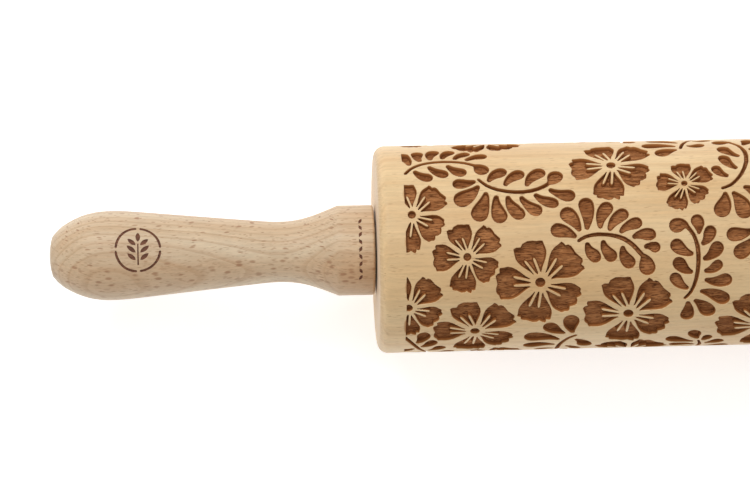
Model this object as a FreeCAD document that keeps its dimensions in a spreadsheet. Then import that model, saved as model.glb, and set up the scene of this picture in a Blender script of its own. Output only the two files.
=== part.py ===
import FreeCAD, Part
import Sketcher
import math
import os

# Wooden embossing rolling pin: a turned beech roller that spins freely on a
# through dowel, with a turned handle glued on each end of the dowel.
# Millimetres. Origin at the centre of the roller on the spin axis, +X along
# the axis towards the right-hand handle, +Z up.

doc = FreeCAD.newDocument("pattern_roller")

sheet = doc.addObject("Spreadsheet::Sheet", "dims")
CELLS = [
    ("roller_diameter", 60.0),
    ("roller_length", 240.0),
    ("roller_edge", 3.0),  # round-over of both roller ends
    ("bore_diameter", 14.8),  # running bore through the roller
    ("bore_lead", 1.0),  # broken edge at the bore mouths
    ("dowel_diameter", 14.0),
    ("dowel_lead", 1.0),
    ("dowel_embed", 40.0),  # length glued into each handle
    ("socket_spare", 2.0),  # glue space past the dowel's end
    ("end_gap", 0.5),  # running gap between roller and collar
    ("collar_radius", 13.05),
    ("collar_length", 10.4),
    ("collar_edge", 0.8),
    ("tip_radius", 5.8),  # flat disc left by the turning at the handle's end
    ("tip_position", 92.7),
    ("handle_length", 93.6),
]
# Turned outline of the handle between the collar and the end disc:
# distance from the collar's face, radius.
PROFILE = [
    (13.27, 11.90),
    (16.14, 10.80),
    (19.01, 9.86),
    (21.87, 9.20),
    (24.74, 8.84),
    (27.61, 8.75),
    (30.48, 8.88),
    (36.22, 9.40),
    (41.95, 9.93),
    (47.69, 10.48),
    (53.43, 11.04),
    (59.17, 11.60),
    (64.9, 12.15),
    (70.54, 12.68),
    (73.41, 12.86),
    (76.28, 12.90),
    (79.15, 12.74),
    (82.02, 12.25),
    (84.89, 11.36),
    (87.75, 9.99),
    (90.62, 8.07),
]
for i, (x, r) in enumerate(PROFILE):
    CELLS.append(("turn_place_%02d" % (i + 1), x))
    CELLS.append(("turn_radius_%02d" % (i + 1), r))
for row, (name, value) in enumerate(CELLS, start=1):
    sheet.set("A%d" % row, name)
    sheet.set("B%d" % row, str(value))
    sheet.setAlias("B%d" % row, name)
doc.recompute()


def size(name):
    return float(sheet.get(name))


def V(x, y, z=0.0):
    return FreeCAD.Vector(x, y, z)


def origin_plane(body, role):
    return next(f for f in body.Origin.OriginFeatures if f.Role == role)


def new_body(name):
    body = doc.addObject("PartDesign::Body", name)
    body.Label = name
    return body


def new_sketch(body, name, role="XZ_Plane"):
    sketch = body.newObject("Sketcher::SketchObject", name)
    sketch.AttachmentSupport = [(origin_plane(body, role), "")]
    sketch.MapMode = "FlatFace"
    return sketch


def polygon(sketch, points):
    """Closed outline of straight edges; returns the edge numbers."""
    n = len(points)
    edges = []
    for i in range(n):
        a, b = points[i], points[(i + 1) % n]
        edges.append(sketch.addGeometry(Part.LineSegment(V(*a), V(*b)), False))
    for i in range(n):
        sketch.addConstraint(
            Sketcher.Constraint("Coincident", edges[i], 2, edges[(i + 1) % n], 1)
        )
    return edges


def driven(sketch, kind, geo, pos, value, expression):
    """A distance from the sketch's origin to a point, bound to the sheet."""
    i = sketch.addConstraint(Sketcher.Constraint(kind, -1, 1, geo, pos, value))
    sketch.setExpression("Constraints[%d]" % i, expression)


def revolve(body, sketch, name, kind="PartDesign::Revolution"):
    turn = body.newObject(kind, name)
    turn.Profile = sketch
    turn.ReferenceAxis = (sketch, ["H_Axis"])
    turn.Angle = 360.0
    sketch.Visibility = False
    doc.recompute()
    return turn


# ---------------------------------------------------------------- axle dowel
axle = new_body("axle_dowel")
sketch = new_sketch(axle, "dowel_section", "YZ_Plane")
circle = sketch.addGeometry(
    Part.Circle(V(0, 0), V(0, 0, 1), size("dowel_diameter") / 2), False
)
sketch.addConstraint(Sketcher.Constraint("Coincident", circle, 3, -1, 1))
i = sketch.addConstraint(
    Sketcher.Constraint("Diameter", circle, size("dowel_diameter"))
)
sketch.setExpression("Constraints[%d]" % i, "dims.dowel_diameter")
pad = axle.newObject("PartDesign::Pad", "dowel_length")
pad.Profile = sketch
pad.Midplane = True
pad.setExpression(
    "Length", "dims.roller_length + 2 * dims.end_gap + 2 * dims.dowel_embed"
)
doc.recompute()
rims = [
    "Edge%d" % (n + 1)
    for n, e in enumerate(pad.Shape.Edges)
    if isinstance(e.Curve, Part.Circle)
]
lead = axle.newObject("PartDesign::Chamfer", "dowel_lead")
lead.Base = (pad, rims)
lead.setExpression("Size", "dims.dowel_lead")
doc.recompute()

# --------------------------------------------------------------- the roller
blank = new_body("roller")
sketch = new_sketch(blank, "roller_section")
half, rad = size("roller_length") / 2, size("roller_diameter") / 2
edge, lead_in = size("roller_edge"), size("bore_lead")
bore = size("bore_diameter") / 2
corner = [
    (-half, bore + lead_in),
    (-half, rad - edge),
    (-half + edge, rad),
    (half - edge, rad),
    (half, rad - edge),
    (half, bore + lead_in),
    (half - lead_in, bore),
    (-half + lead_in, bore),
]
# The two outer corners are quarter rounds, the two bore mouths are chamfers.
geo = []
diag = edge * (1 - math.sqrt(0.5))
for n in range(8):
    a, b = corner[n], corner[(n + 1) % 8]
    if n == 1:
        mid = (-half + diag, rad - diag)
        geo.append(sketch.addGeometry(Part.Arc(V(*a), V(*mid), V(*b)), False))
    elif n == 3:
        mid = (half - diag, rad - diag)
        geo.append(sketch.addGeometry(Part.Arc(V(*a), V(*mid), V(*b)), False))
    else:
        geo.append(sketch.addGeometry(Part.LineSegment(V(*a), V(*b)), False))


def ends(n):
    """Start and end point numbers of an edge, by where they lie."""
    a = corner[n]
    start = sketch.getPoint(geo[n], 1)
    near = math.hypot(start.x - a[0], start.y - a[1]) < 1e-6
    return (1, 2) if near else (2, 1)


for n in range(8):
    m = (n + 1) % 8
    sketch.addConstraint(
        Sketcher.Constraint("Coincident", geo[n], ends(n)[1], geo[m], ends(m)[0])
    )
driven(sketch, "DistanceX", geo[2], 1, -(half - edge), "-(dims.roller_length / 2 - dims.roller_edge)")
driven(sketch, "DistanceY", geo[2], 1, rad, "dims.roller_diameter / 2")
driven(sketch, "DistanceX", geo[2], 2, half - edge, "dims.roller_length / 2 - dims.roller_edge")
driven(sketch, "DistanceY", geo[2], 2, rad, "dims.roller_diameter / 2")
for n, sign in ((0, -1), (4, 1)):
    text = "%sdims.roller_length / 2" % ("-" if sign < 0 else "")
    driven(sketch, "DistanceX", geo[n], 1, sign * half, text)
    driven(sketch, "DistanceX", geo[n], 2, sign * half, text)
driven(sketch, "DistanceY", geo[0], 1, bore + lead_in, "dims.bore_diameter / 2 + dims.bore_lead")
driven(sketch, "DistanceY", geo[0], 2, rad - edge, "dims.roller_diameter / 2 - dims.roller_edge")
driven(sketch, "DistanceY", geo[4], 1, rad - edge, "dims.roller_diameter / 2 - dims.roller_edge")
driven(sketch, "DistanceY", geo[4], 2, bore + lead_in, "dims.bore_diameter / 2 + dims.bore_lead")
driven(sketch, "DistanceX", geo[6], 1, half - lead_in, "dims.roller_length / 2 - dims.bore_lead")
driven(sketch, "DistanceX", geo[6], 2, -(half - lead_in), "-(dims.roller_length / 2 - dims.bore_lead)")
driven(sketch, "DistanceY", geo[6], 1, bore, "dims.bore_diameter / 2")
driven(sketch, "DistanceY", geo[6], 2, bore, "dims.bore_diameter / 2")
revolve(blank, sketch, "turned_roller")


# ---------------------------------------------------------------- the handles
def make_handle(name, side):
    """A turned handle. It starts at its collar's face and runs along side * X."""
    body = new_body(name)
    sketch = new_sketch(body, name + "_section")
    cr, cl, ce = size("collar_radius"), size("collar_length"), size("collar_edge")
    tr, tp, hl = size("tip_radius"), size("tip_position"), size("handle_length")

    def P(x, r):
        return V(side * x, r)

    stations = [(cl, cr)]
    for n in range(1, len(PROFILE) + 1):
        stations.append((size("turn_place_%02d" % n), size("turn_radius_%02d" % n)))
    stations.append((tp, tr))
    curve = Part.BSplineCurve()
    curve.interpolate([P(x, r) for x, r in stations])
    g_face = sketch.addGeometry(Part.LineSegment(P(0, 0), P(0, cr - ce)), False)
    d = ce * (1 - math.sqrt(0.5))
    g_ease = sketch.addGeometry(Part.Arc(P(0, cr - ce), P(d, cr - d), P(ce, cr)), False)
    g_collar = sketch.addGeometry(Part.LineSegment(P(ce, cr), P(cl, cr)), False)
    g_turn = sketch.addGeometry(curve, False)
    # The end disc is a shallow spherical cap centred on the axis.
    dome = (tr * tr + (hl - tp) ** 2) / (2 * (hl - tp))
    sag = dome - math.sqrt(dome * dome - tr * tr / 4)
    g_tip = sketch.addGeometry(
        Part.Arc(P(tp, tr), P(hl - sag, tr * 0.5), P(hl, 0)), False
    )
    g_axis = sketch.addGeometry(Part.LineSegment(P(hl, 0), P(0, 0)), False)
    order = [g_face, g_ease, g_collar, g_turn, g_tip, g_axis]
    starts = [P(0, 0), P(0, cr - ce), P(ce, cr), P(cl, cr), P(tp, tr), P(hl, 0)]

    def way(n):
        near = sketch.getPoint(order[n], 1).distanceToPoint(starts[n]) < 1e-4
        return (1, 2) if near else (2, 1)

    ways = [way(n) for n in range(6)]
    for n in range(6):
        m = (n + 1) % 6
        sketch.addConstraint(
            Sketcher.Constraint("Coincident", order[n], ways[n][1], order[m], ways[m][0])
        )
    s = "" if side > 0 else "-"
    sketch.addConstraint(Sketcher.Constraint("Coincident", g_face, 1, -1, 1))
    sketch.addConstraint(Sketcher.Constraint("PointOnObject", g_tip, 3, -1))
    driven(sketch, "DistanceX", g_face, 2, 0.0, "0")
    driven(sketch, "DistanceY", g_face, 2, cr - ce, "dims.collar_radius - dims.collar_edge")
    driven(sketch, "DistanceX", g_collar, 1, side * ce, s + "dims.collar_edge")
    driven(sketch, "DistanceY", g_collar, 1, cr, "dims.collar_radius")
    driven(sketch, "DistanceX", g_collar, 2, side * cl, s + "dims.collar_length")
    driven(sketch, "DistanceY", g_collar, 2, cr, "dims.collar_radius")
    driven(sketch, "DistanceX", g_axis, 1, side * hl, s + "dims.handle_length")
    driven(sketch, "DistanceY", g_axis, 1, 0.0, "0")
    turned = revolve(body, sketch, name + "_turned")
    whole = turned.Shape.Volume

    # Blind socket for the dowel, bored from the collar's face.
    socket = new_sketch(body, name + "_socket")
    deep = size("dowel_embed") + size("socket_spare")
    sr = size("dowel_diameter") / 2
    e = polygon(
        socket, [(0, 0), (side * deep, 0), (side * deep, sr), (0, sr)]
    )
    socket.addConstraint(Sketcher.Constraint("Coincident", e[0], 1, -1, 1))
    socket.addConstraint(Sketcher.Constraint("Horizontal", e[0]))
    socket.addConstraint(Sketcher.Constraint("Vertical", e[1]))
    socket.addConstraint(Sketcher.Constraint("Horizontal", e[2]))
    socket.addConstraint(Sketcher.Constraint("Vertical", e[3]))
    driven(socket, "DistanceX", e[0], 2, side * deep, s + "(dims.dowel_embed + dims.socket_spare)")
    driven(socket, "DistanceY", e[1], 2, sr, "dims.dowel_diameter / 2")
    revolve(body, socket, name + "_bored", "PartDesign::Groove")
    removed = whole - body.Shape.Volume
    wanted = math.pi * sr * sr * deep
    assert abs(removed - wanted) < 0.01 * wanted, (name, removed, wanted)
    body.setExpression(
        "Placement.Base.x", "%s(dims.roller_length / 2 + dims.end_gap)" % s
    )
    doc.recompute()
    return body


left = make_handle("handle_left", -1)
right = make_handle("handle_right", 1)
doc.recompute()

# ------------------------------------------------------------- check and write
nodes = [blank, axle, left, right]
for obj in doc.Objects:
    bad = [state for state in obj.State if state in ("Invalid", "Error")]
    if bad:
        raise RuntimeError("%s is %s" % (obj.Name, bad))
for obj in nodes:
    if obj.Shape.isNull() or not obj.Shape.isValid() or obj.Shape.Volume <= 0:
        raise RuntimeError("%s has no valid shape" % obj.Label)

os.makedirs("parts", exist_ok=True)
for obj in nodes:
    obj.Shape.exportStep("parts/%s.step" % obj.Label)
    b = obj.Shape.BoundBox
    print(
        "%-12s %d solid(s) %9.0f mm3  x %.2f..%.2f  y %.2f..%.2f  z %.2f..%.2f"
        % (obj.Label, len(obj.Shape.Solids), obj.Shape.Volume, b.XMin, b.XMax, b.YMin, b.YMax, b.ZMin, b.ZMax)
    )
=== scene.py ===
import math

import bmesh
import bpy
import numpy as np
from mathutils import Matrix, Vector
from mathutils.geometry import delaunay_2d_cdt


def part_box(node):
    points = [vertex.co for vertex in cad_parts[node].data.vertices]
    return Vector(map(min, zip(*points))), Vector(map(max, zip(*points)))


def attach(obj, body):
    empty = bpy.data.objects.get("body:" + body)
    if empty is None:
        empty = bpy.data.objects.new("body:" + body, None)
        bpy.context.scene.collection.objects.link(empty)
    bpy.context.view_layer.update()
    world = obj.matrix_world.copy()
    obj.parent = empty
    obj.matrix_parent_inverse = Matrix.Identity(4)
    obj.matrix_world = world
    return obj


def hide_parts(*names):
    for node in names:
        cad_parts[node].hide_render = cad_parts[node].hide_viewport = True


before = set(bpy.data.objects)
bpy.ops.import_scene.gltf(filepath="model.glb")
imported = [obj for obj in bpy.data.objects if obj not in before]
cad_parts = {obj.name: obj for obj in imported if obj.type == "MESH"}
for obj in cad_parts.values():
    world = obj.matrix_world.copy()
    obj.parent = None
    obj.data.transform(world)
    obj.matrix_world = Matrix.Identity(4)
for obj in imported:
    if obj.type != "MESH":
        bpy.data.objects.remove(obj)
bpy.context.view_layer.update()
MM = 0.001


# The CAD parts' own sizes, in mm.
r_lo, r_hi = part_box("roller")
ROLLER_HALF = (r_hi.x - r_lo.x) / 2 / MM
ROLLER_R = 30.0
BORE_R = 7.4
EDGE = 3.0
h_lo, h_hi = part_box("handle_left")
HANDLE_FACE = h_hi.x / MM  # the collar's face, towards the roller
HANDLE_LONG = (h_hi.x - h_lo.x) / MM
CUT = 1.45  # depth of the engraving

FLOOR_GLOW = 0.57
WORLD = 0.38
KEY = 10.0
FILL = 6.2
CAM_ROLL = -1.24
CAM_Y = 0.0001

# Engraved ornament, laid out on the unrolled roller: x is the distance from the
# roller's left end, t the distance round it (both mm). Five-petalled flowers and
# leaf sprays, each spray a curved stem with an outer and an inner row of leaflets.
PETALS = [
    # direction, length, half width right, half width left, lobes, phase
    (106.0, 12.6, 4.3, 4.6, 3, 0.15),
    (39.5, 13.9, 5.1, 5.0, 4, 0.55),
    (-35.0, 12.3, 4.9, 4.9, 5, 0.3),
    (-100.0, 14.0, 4.7, 4.7, 5, 0.7),
    (181.0, 13.0, 4.9, 4.9, 4, 0.45),
]
SPRAYS = {
    "arched": {
        "stem": [(0.09, 0.04), (1.44, 1.77), (3.52, 3.27), (6.26, 4.5), (9.19, 5.26), (12.39, 5.38), (15.38, 4.66), (17.8, 3.49), (19.01, 2.9)],
        "end": ((19.01, 2.9), (21.71, 0.0), 2.4),
        "outer": [
            ((-0.95, 1.01), (-6.71, 0.83), 2.0),
            ((-0.49, 3.04), (-5.71, 6.31), 2.2),
            ((1.22, 4.17), (-1.8, 11.04), 2.15),
            ((4.53, 5.84), (4.15, 12.06), 2.0),
            ((7.24, 6.09), (9.2, 11.86), 1.9),
            ((10.48, 6.87), (13.98, 11.0), 1.7),
            ((14.47, 6.88), (18.91, 9.23), 1.8),
            ((18.72, 5.48), (21.7, 6.37), 1.5),
        ],
        "inner": [
            ((2.49, 0.26), (6.27, -2.41), 1.8),
            ((6.61, 2.59), (10.5, -0.58), 1.8),
            ((12.57, 3.08), (16.07, -0.46), 1.9),
        ],
    },
    "long": {
        "stem": [(0.0, -0.0), (2.3, 2.3), (5.8, 4.0), (10.8, 4.9), (15.3, 4.6), (18.8, 3.3), (20.5, 2.1)],
        "end": ((19.9, 2.5), (22.5, -0.5), 2.3),
        "outer": [
            ((-0.8, 0.8), (-5.7, 1.5), 1.75),
            ((0.2, 2.5), (-4.7, 6.9), 2.5),
            ((2.3, 4.8), (0.3, 11.5), 2.5),
            ((5.1, 6.0), (6.1, 12.4), 2.2),
            ((8.3, 6.3), (11.6, 11.7), 2.0),
            ((12.2, 6.6), (16.7, 10.9), 1.8),
            ((16.3, 5.9), (21.7, 8.6), 1.7),
            ((20.6, 4.3), (26.3, 6.4), 1.9),
        ],
        "inner": [
            ((2.8, 0.8), (6.5, -2.6), 1.9),
            ((7.6, 2.4), (11.6, -1.6), 1.9),
            ((13.9, 2.7), (17.6, -2.0), 2.0),
        ],
    },
    "upright": {
        "stem": [(0.0, 0.0), (2.03, 2.08), (5.87, 4.03), (10.58, 5.24), (15.57, 5.58), (19.26, 4.8), (21.6, 3.2)],
        "end": ((21.18, 3.46), (22.38, 0.05), 2.2),
        "outer": [
            ((-1.28, 0.89), (-6.32, -0.05), 1.9),
            ((-0.85, 2.84), (-5.16, 6.17), 2.3),
            ((1.98, 4.89), (-1.16, 10.94), 2.2),
            ((5.25, 6.58), (4.72, 12.56), 1.9),
            ((7.84, 6.81), (9.5, 10.77), 1.5),
            ((11.44, 6.92), (14.48, 11.2), 1.9),
            ((15.85, 7.01), (19.43, 9.63), 1.8),
            ((19.12, 6.29), (23.14, 6.24), 1.8),
        ],
        "inner": [
            ((3.0, 1.27), (6.79, -1.92), 1.7),
            ((7.86, 3.1), (11.17, -0.33), 1.9),
            ((13.31, 3.88), (16.5, -0.46), 1.9),
        ],
    },
    "edge": {
        "stem": [(0.0, 0.0), (1.85, 2.08), (4.78, 3.78), (8.84, 4.59), (13.84, 4.35), (17.77, 3.27), (20.28, 1.89)],
        "end": ((19.31, 2.36), (22.32, -0.46), 2.2),
        "outer": [
            ((-0.75, 2.16), (-4.27, 3.41), 1.8),
            ((1.57, 3.8), (0.12, 8.91), 1.9),
            ((4.69, 5.39), (4.2, 9.83), 1.75),
            ((7.64, 5.98), (8.95, 10.5), 1.8),
            ((11.16, 6.24), (13.43, 9.99), 1.7),
            ((14.53, 5.6), (18.13, 8.36), 1.5),
            ((17.87, 4.66), (22.7, 6.43), 1.6),
        ],
        "inner": [
            ((2.57, 0.92), (6.27, -2.14), 1.6),
            ((6.89, 2.53), (10.95, -1.07), 1.65),
            ((12.31, 2.55), (16.07, -0.92), 1.75),
        ],
    },
    "hooked": {
        "stem": [(0.0, -0.0), (1.49, 2.7), (5.28, 5.24), (10.78, 6.46), (16.23, 5.58), (20.39, 3.39), (22.73, 1.02)],
        "end": ((22.35, 1.34), (23.2, -2.22), 2.4),
        "outer": [
            ((-1.33, 1.1), (-6.79, 0.37), 2.4),
            ((-1.07, 3.28), (-6.74, 6.89), 2.5),
            ((0.95, 6.35), (-2.37, 11.99), 2.2),
            ((4.7, 8.49), (3.81, 14.37), 2.1),
            ((9.44, 8.86), (10.69, 13.79), 1.9),
            ((13.32, 8.49), (16.64, 12.87), 1.8),
            ((17.23, 7.02), (21.66, 10.11), 1.7),
            ((20.48, 4.78), (25.36, 5.65), 1.8),
        ],
        "inner": [
            ((4.31, 1.4), (7.16, -2.21), 1.4),
            ((7.58, 3.78), (12.21, -0.25), 1.65),
            ((13.22, 4.09), (17.49, -0.82), 1.8),
        ],
    },
    "fan": {
        "stem": [(-0.0, -0.0), (2.07, 1.97), (5.79, 3.45), (10.11, 3.8), (14.58, 3.22), (18.41, 1.32), (20.69, -0.7)],
        "end": ((20.19, -0.11), (22.51, -3.06), 2.3),
        "outer": [
            ((-1.09, 1.31), (-6.77, 2.51), 2.3),
            ((-0.49, 3.54), (-2.95, 8.03), 2.2),
            ((3.23, 4.51), (2.8, 12.4), 2.5),
            ((7.32, 5.21), (9.01, 11.92), 2.2),
            ((11.77, 5.13), (14.2, 8.56), 1.6),
            ((15.51, 4.47), (18.65, 7.27), 1.5),
            ((18.88, 2.86), (23.27, 4.73), 1.7),
            ((21.13, 0.64), (25.94, 1.42), 1.7),
        ],
        "inner": [
            ((2.48, -0.34), (6.2, -3.43), 2.1),
            ((8.32, 1.68), (11.59, -1.64), 1.5),
            ((13.15, 1.44), (16.42, -1.88), 1.5),
        ],
    },
    "narrow": {
        "stem": [(0.0, 0.0), (3.55, 1.93), (8.06, 2.72), (12.55, 2.65), (16.6, 2.64), (20.12, 2.32), (21.74, 1.95)],
        "end": ((21.17, 2.07), (23.15, -1.04), 2.2),
        "outer": [
            ((-1.57, -0.36), (-6.03, -2.73), 1.9),
            ((-0.39, 1.67), (-4.27, 3.55), 1.8),
            ((2.22, 3.26), (0.61, 6.5), 1.6),
            ((5.93, 4.18), (6.11, 8.93), 1.9),
            ((10.13, 4.33), (12.07, 8.65), 1.65),
            ((14.67, 3.85), (16.9, 7.96), 1.65),
            ((18.09, 3.82), (21.54, 7.2), 1.9),
        ],
        "inner": [
            ((2.82, -0.14), (1.11, -4.81), 1.8),
            ((8.47, 1.28), (7.66, -3.49), 1.8),
            ((13.98, 1.36), (13.6, -3.46), 1.9),
        ],
    },
    "sweep": {
        "stem": [(-0.0, -0.0), (3.69, -0.96), (8.38, -0.87), (13.02, 0.14), (16.98, 1.88), (20.0, 3.99), (21.72, 5.71)],
        "end": ((21.22, 5.19), (24.7, 7.63), 2.1),
        "outer": [
            ((-1.11, 0.6), (-4.63, 1.93), 1.9),
            ((1.28, 1.5), (0.0, 7.51), 2.2),
            ((4.36, 0.55), (5.12, 6.0), 2.0),
            ((8.24, 0.68), (10.23, 3.88), 1.6),
        ],
        "inner": [
            ((0.04, -0.92), (-2.83, -2.24), 1.3),
            ((2.64, -2.29), (0.01, -5.69), 1.7),
            ((7.04, -2.66), (5.16, -7.61), 2.0),
            ((11.64, -1.95), (10.72, -7.17), 2.0),
            ((15.78, -0.35), (16.59, -4.96), 1.9),
            ((19.45, 2.05), (22.01, -1.85), 1.8),
        ],
    },
    "rising": {
        "stem": [(0.0, 0.0), (3.46, 1.69), (8.12, 2.88), (13.2, 2.77), (18.23, 1.17), (21.89, -1.27)],
        "end": ((21.19, -0.79), (22.64, -4.78), 2.2),
        "outer": [
            ((-1.2, 0.5), (-5.17, 2.85), 2.2),
            ((0.61, 2.26), (-2.93, 9.06), 2.2),
            ((3.74, 3.72), (2.51, 11.4), 2.1),
            ((8.32, 4.85), (8.61, 11.77), 2.0),
            ((12.84, 4.84), (14.74, 10.68), 1.9),
            ((17.56, 3.87), (20.56, 8.29), 1.8),
            ((21.37, 1.9), (24.98, 4.43), 1.7),
        ],
        "inner": [
            ((2.73, -0.41), (4.98, -3.1), 1.6),
            ((7.8, 1.07), (11.02, -1.44), 1.4),
            ((13.07, 0.85), (16.16, -3.21), 1.8),
        ],
    },
}
# kind, x, t, size, turn (deg), mirrored
MOTIFS = [
    ("flower", 10.2, 10.2, 0.8, 0, 0),
    ("flower", 26.1, -2.7, 0.77, 0, 0),
    ("flower", 47.2, -10.8, 1, 0, 0),
    ("flower", 8.7, -18.3, 0.8, 5, 0),
    ("flower", 27.8, -28.3, 0.93, 0, 0),
    ("flower", 68.5, 26.6, 0.92, 6, 0),
    ("flower", 89.9, 18.7, 0.63, -8, 0),
    ("flower", 72.7, -22.1, 1, 0, 0),
    ("flower", 111.5, -28.5, 1.02, 3, 0),
    ("flower", 72, -48.5, 1, 12, 0),
    ("flower", 32.6, -52.2, 0.9, 25, 0),
    ("flower", 32.6, 48.2, 0.98, -25, 0),
    ("edge", 8.5, 24.5, 1, 4, 0),
    ("long", 29.7, 21.7, 1, 0, 1),
    ("arched", 58.5, 1.3, 1, -22.2, 0),
    ("upright", 89.3, -17, 1, 95, 1),
    ("hooked", 101, 16.7, 1, 86, 1),
    ("arched", 110.5, 4.5, 1, 12, 1),
    ("narrow", 13.5, -53, 1, 110, 1),
    ("fan", 57.3, -31.7, 1, -100, 1),
    ("sweep", 93, -37.2, 1, -100, 1),
    ("rising", 88.9, 35.2, 1, 55, 0),
    ("upright", 19, 69.25, 0.9, 20, 1),
    ("upright", 55.5, 49.25, 0.9, 140, 1),
    ("arched", 42, -65.25, 0.9, 20, 1),
    ("flower", 70, -76.75, 0.9, 60, 0),
    ("long", 102, -76.25, 0.9, 140, 0),
    ("flower", 129.5, 22.75, 0.9, 60, 0),
    ("long", 112, -52.25, 1, 280, 1),
    ("flower", 50.5, -88.75, 0.9, 24, 0),
    ("edge", 132.5, -49.25, 1, 260, 1),
    ("flower", 123.5, -86.75, 0.9, 48, 0),
    ("edge", 113.5, 41.25, 0.9, 100, 1),
    ("flower", 103, 90.75, 0.9, 24, 0),
    ("edge", 128.5, 82.75, 0.9, 220, 1),
    ("flower", 138, 45.75, 1, 12, 0),
    ("edge", 39, 83.25, 0.9, 200, 1),
    ("flower", 27, -82.25, 1, 36, 0),
    ("flower", 71.5, 88.25, 0.9, 36, 0),
    ("edge", 65.5, 65.75, 0.9, 160, 1),
    ("flower", 154.5, 25.75, 1, 24, 0),
    ("arched", 92.5, 81.25, 0.9, 320, 1),
    ("flower", 145.5, 1.75, 0.9, 36, 0),
    ("edge", 162.5, 12.75, 0.9, 260, 0),
    ("flower", 136, -23.25, 1, 36, 0),
    ("arched", 131.5, 59.25, 1, 40, 0),
    ("flower", 145.5, -49.75, 0.9, 60, 0),
    ("upright", 150, -19.75, 0.9, 300, 0),
    ("flower", 169.5, -48.75, 0.9, 12, 0),
    ("edge", 175.5, -17.75, 0.9, 300, 1),
    ("flower", 181.5, -5.25, 0.9, 12, 0),
    ("upright", 162, -73.75, 1, 180, 1),
    ("flower", 181.5, 20.75, 1, 0, 0),
    ("upright", 84, 60.75, 0.9, 240, 1),
    ("flower", 184, -68.75, 1, 12, 0),
    ("edge", 146.5, -82.25, 1, 280, 1),
    ("flower", 164.5, -87.25, 0.9, 0, 0),
    ("edge", 206, -19.25, 0.9, 200, 1),
    ("flower", 162, 50.25, 0.9, 36, 0),
    ("arched", 175, 52.75, 0.9, 300, 0),
    ("flower", 163, 74.25, 0.9, 48, 0),
    ("long", 200.5, -31.25, 1, 220, 0),
    ("flower", 185.5, 72.75, 0.9, 36, 0),
    ("upright", 214.5, -0.25, 1, 140, 0),
    ("flower", 222.5, -19.75, 0.9, 48, 0),
    ("upright", 213, 8.25, 1, 320, 0),
    ("flower", 222.5, -43.75, 0.9, 60, 0),
    ("arched", 182.5, -91.25, 0.9, 40, 1),
    ("flower", 207.5, -61.75, 0.9, 48, 0),
    ("upright", 228, -80.25, 0.9, 80, 0),
    ("flower", 202.5, 54.25, 0.9, 36, 0),
    ("edge", 213.5, -79.75, 0.9, 280, 1),
    ("flower", 218.5, 72.75, 1, 0, 0),
    ("long", 223, 36.25, 1, 60, 0),
    ("edge", 217, 29.25, 0.78, 180, 0),
    ("flower", 11.5, 50.75, 0.62, 0, 0),
    ("edge", 5.5, -90.25, 0.78, 280, 0),
]

def petal_outline(direction, length, right_w, left_w, lobes, phase, per_lobe=4):
    """Fan-shaped petal with a crowned rim; two raised veins enter from its base."""
    g = length / 13.2
    right_w, left_w = right_w * 1.05, left_w * 1.05
    along = [2.9 * g, 3.5 * g, 4.3 * g, 5.4 * g, 6.8 * g, 8.2 * g, 9.4 * g]
    share = [0.25, 0.31, 0.41, 0.59, 0.80, 0.95, 1.0]
    right = [(u, -right_w * k) for u, k in zip(along, share)]
    left = [(u, left_w * k) for u, k in zip(along, share)][::-1]
    u0 = right[-1][0]
    rim = []
    n = lobes * per_lobe
    for k in range(1, n):
        q = k / n
        a = -math.pi / 2 + math.pi * q
        w = right_w if a < 0 else left_w
        v = w * math.copysign(abs(math.sin(a)) ** 0.80, a)
        u = u0 + (length - u0) * abs(math.cos(a)) ** 0.52
        part = (q * lobes) % 1.0
        peak = 1.0 - abs(2.0 * part - 1.0) ** 1.35
        amp = 0.92 * min(1.0, min(q, 1 - q) * 7) * (0.85 + 0.45 * math.sin(9 * q + 11 * phase))
        u += amp * (peak - 0.62) * (0.35 + 0.65 * math.cos(a))
        v += amp * (peak - 0.62) * math.sin(a) * 0.9
        rim.append((u, v))
    # two raised veins, both leaning the same way
    lean = 1.0 if -60.0 < direction < 150.0 else -0.6
    base = []
    for side in (1, -1):
        def vein(u, off):
            k = (u - 3.0) / 4.8
            return (u * g, side * (0.66 + 0.70 * k) + lean * k + off)

        w = 0.37
        bar = [vein(3.3, side * w), vein(4.6, side * w), vein(6.0, side * w), vein(7.2, side * w), vein(7.75, side * w * 0.6)]
        bar += [vein(7.95, 0.0), vein(7.75, -side * w * 0.6), vein(7.2, -side * w), vein(6.0, -side * w), vein(4.6, -side * w), vein(3.5, -side * w), vein(2.95, -side * w * 1.3)]
        base += bar if side == 1 else [(2.7 * g, 0.0)] + bar[::-1]
    c, s = math.cos(math.radians(direction)), math.sin(math.radians(direction))
    return [(u * c - v * s, u * s + v * c) for u, v in right + rim + left + base]


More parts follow.
